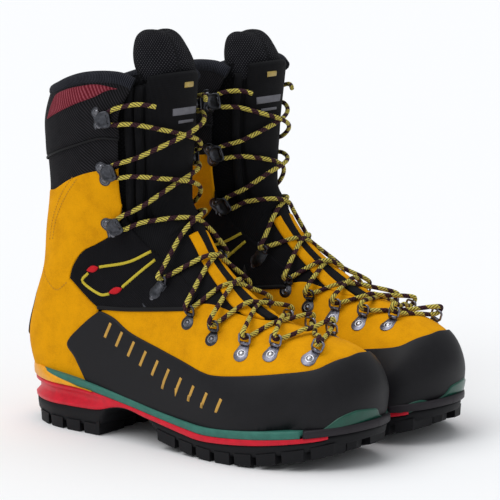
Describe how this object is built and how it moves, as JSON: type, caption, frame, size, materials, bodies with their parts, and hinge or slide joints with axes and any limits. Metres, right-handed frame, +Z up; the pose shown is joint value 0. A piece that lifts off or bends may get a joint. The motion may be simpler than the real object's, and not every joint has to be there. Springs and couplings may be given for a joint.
{
  "type": "mountaineering boots",
  "caption": "Pair of high lace-up insulated mountaineering boots with lugged soles, crampon welts, rubber rand, tongue and speed hooks.",
  "frame": {"origin": "middle of the pair on the ground", "axes": "+X from heel to toe, +Y from the right boot to the left boot, +Z up"},
  "size_m": [0.3144, 0.2304, 0.306],
  "materials": {
    "rubber_black": "moulded, matt",
    "midsole_red": "smooth moulded",
    "welt_yellow": "smooth moulded",
    "welt_green": "smooth moulded",
    "welt_grey": "smooth moulded",
    "insert_green": "satin",
    "rubber_rand": "satin",
    "leather_yellow": "nubuck",
    "fabric_black": "ribbed",
    "fabric_collar": "softshell",
    "lining_black": "knitted",
    "board": "fibre board",
    "footbed": "felt",
    "mesh_black": "coarse mesh",
    "steel": "satin",
    "steel_dark": "gunmetal",
    "lace": "braided"
  },
  "bodies": {
    "right_boot": {"right_outsole": "rubber_black", "right_heel_wedge": "midsole_red", "right_heel_welt": "welt_yellow", "right_midsole": "welt_green", "right_toe_welt": "welt_grey", "right_toe_insert": "insert_green", "right_rand": "rubber_rand", "right_vamp": "leather_yellow", "right_ankle_panel": "fabric_black", "right_cuff": "leather_yellow", "right_collar": "fabric_collar", "right_heel_stay": "rubber_rand", "right_lining": "lining_black", "right_insole_board": "board", "right_footbed": "footbed", "right_tongue": "fabric_black", "right_plates": "steel", "right_loops": "steel", "right_speed_hooks": "steel_dark", "right_rivets": "steel", "right_lace": "lace"},
    "right_tongue_top": {"right_tongue_top": "mesh_black"},
    "right_d_ring_outer_1": {"right_d_ring_outer_1": "steel"},
    "right_d_ring_inner_1": {"right_d_ring_inner_1": "steel"},
    "right_d_ring_outer_2": {"right_d_ring_outer_2": "steel"},
    "right_d_ring_inner_2": {"right_d_ring_inner_2": "steel"},
    "right_d_ring_outer_3": {"right_d_ring_outer_3": "steel"},
    "right_d_ring_inner_3": {"right_d_ring_inner_3": "steel"},
    "right_lock_ring_outer_1": {"right_lock_ring_outer_1": "steel"},
    "right_lock_ring_inner_1": {"right_lock_ring_inner_1": "steel"},
    "left_boot": {"left_outsole": "rubber_black", "left_heel_wedge": "midsole_red", "left_heel_welt": "welt_yellow", "left_midsole": "welt_green", "left_toe_welt": "welt_grey", "left_toe_insert": "insert_green", "left_rand": "rubber_rand", "left_vamp": "leather_yellow", "left_ankle_panel": "fabric_black", "left_cuff": "leather_yellow", "left_collar": "fabric_collar", "left_heel_stay": "rubber_rand", "left_lining": "lining_black", "left_insole_board": "board", "left_footbed": "footbed", "left_tongue": "fabric_black", "left_plates": "steel", "left_loops": "steel", "left_speed_hooks": "steel_dark", "left_rivets": "steel", "left_lace": "lace"},
    "left_tongue_top": {"left_tongue_top": "mesh_black"},
    "left_d_ring_outer_1": {"left_d_ring_outer_1": "steel"},
    "left_d_ring_inner_1": {"left_d_ring_inner_1": "steel"},
    "left_d_ring_outer_2": {"left_d_ring_outer_2": "steel"},
    "left_d_ring_inner_2": {"left_d_ring_inner_2": "steel"},
    "left_d_ring_outer_3": {"left_d_ring_outer_3": "steel"},
    "left_d_ring_inner_3": {"left_d_ring_inner_3": "steel"},
    "left_lock_ring_outer_1": {"left_lock_ring_outer_1": "steel"},
    "left_lock_ring_inner_1": {"left_lock_ring_inner_1": "steel"}
  },
  "joints": [
    {"name": "left_boot_lift", "type": "slide", "parent": "right_boot", "child": "left_boot", "axis": [0, 0, 1], "range_m": [0, 0.32]},
    {"name": "right_tongue_top_fold", "type": "hinge", "parent": "right_boot", "child": "right_tongue_top", "pos_m": [-0.0273, -0.055, 0.264], "axis": [0, 1, 0], "range_deg": [0, 20]},
    {"name": "right_d_ring_outer_1_swing", "type": "hinge", "parent": "right_boot", "child": "right_d_ring_outer_1", "pos_m": [0.12101, -0.07573, 0.08542], "axis": [-0.9255, -0.0472, 0.3757], "range_deg": [-3, 3]},
    {"name": "right_d_ring_inner_1_swing", "type": "hinge", "parent": "right_boot", "child": "right_d_ring_inner_1", "pos_m": [0.1079, -0.03854, 0.09058], "axis": [0.9958, 0.0675, -0.0612], "range_deg": [-3, 3]},
    {"name": "right_d_ring_outer_2_swing", "type": "hinge", "parent": "right_boot", "child": "right_d_ring_outer_2", "pos_m": [0.09133, -0.08534, 0.08704], "axis": [-0.9782, -0.1156, 0.1728], "range_deg": [-3, 3]},
    {"name": "right_d_ring_inner_2_swing", "type": "hinge", "parent": "right_boot", "child": "right_d_ring_inner_2", "pos_m": [0.08371, -0.03313, 0.09041], "axis": [0.9954, -0.0529, -0.0805], "range_deg": [-3, 3]},
    {"name": "right_d_ring_outer_3_swing", "type": "hinge", "parent": "right_boot", "child": "right_d_ring_outer_3", "pos_m": [0.06949, -0.09299, 0.08655], "axis": [-0.9837, -0.1459, 0.1054], "range_deg": [-3, 3]},
    {"name": "right_d_ring_inner_3_swing", "type": "hinge", "parent": "right_boot", "child": "right_d_ring_inner_3", "pos_m": [0.06019, -0.02979, 0.09281], "axis": [0.9914, -0.1139, -0.0646], "range_deg": [-3, 3]},
    {"name": "right_lock_ring_outer_1_swing", "type": "hinge", "parent": "right_boot", "child": "right_lock_ring_outer_1", "pos_m": [-0.01396, -0.08612, 0.12118], "axis": [-0.8768, 0.0872, 0.4728], "range_deg": [-3, 3]},
    {"name": "right_lock_ring_inner_1_swing", "type": "hinge", "parent": "right_boot", "child": "right_lock_ring_inner_1", "pos_m": [-0.00819, -0.02807, 0.1304], "axis": [0.8542, -0.0736, -0.5147], "range_deg": [-3, 3]},
    {"name": "left_tongue_top_fold", "type": "hinge", "parent": "left_boot", "child": "left_tongue_top", "pos_m": [-0.0273, 0.055, 0.264], "axis": [0, 1, 0], "range_deg": [0, 20]},
    {"name": "left_d_ring_outer_1_swing", "type": "hinge", "parent": "left_boot", "child": "left_d_ring_outer_1", "pos_m": [0.12101, 0.07573, 0.08542], "axis": [-0.9255, 0.0472, 0.3757], "range_deg": [-3, 3]},
    {"name": "left_d_ring_inner_1_swing", "type": "hinge", "parent": "left_boot", "child": "left_d_ring_inner_1", "pos_m": [0.1079, 0.03854, 0.09058], "axis": [0.9958, -0.0675, -0.0612], "range_deg": [-3, 3]},
    {"name": "left_d_ring_outer_2_swing", "type": "hinge", "parent": "left_boot", "child": "left_d_ring_outer_2", "pos_m": [0.09133, 0.08534, 0.08704], "axis": [-0.9782, 0.1156, 0.1728], "range_deg": [-3, 3]},
    {"name": "left_d_ring_inner_2_swing", "type": "hinge", "parent": "left_boot", "child": "left_d_ring_inner_2", "pos_m": [0.08371, 0.03313, 0.09041], "axis": [0.9954, 0.0529, -0.0805], "range_deg": [-3, 3]},
    {"name": "left_d_ring_outer_3_swing", "type": "hinge", "parent": "left_boot", "child": "left_d_ring_outer_3", "pos_m": [0.06949, 0.09299, 0.08655], "axis": [-0.9837, 0.1459, 0.1054], "range_deg": [-3, 3]},
    {"name": "left_d_ring_inner_3_swing", "type": "hinge", "parent": "left_boot", "child": "left_d_ring_inner_3", "pos_m": [0.06019, 0.02979, 0.09281], "axis": [0.9914, 0.1139, -0.0646], "range_deg": [-3, 3]},
    {"name": "left_lock_ring_outer_1_swing", "type": "hinge", "parent": "left_boot", "child": "left_lock_ring_outer_1", "pos_m": [-0.01396, 0.08612, 0.12118], "axis": [-0.8768, -0.0872, 0.4728], "range_deg": [-3, 3]},
    {"name": "left_lock_ring_inner_1_swing", "type": "hinge", "parent": "left_boot", "child": "left_lock_ring_inner_1", "pos_m": [-0.00819, 0.02807, 0.1304], "axis": [0.8542, 0.0736, -0.5147], "range_deg": [-3, 3]}
  ]
}
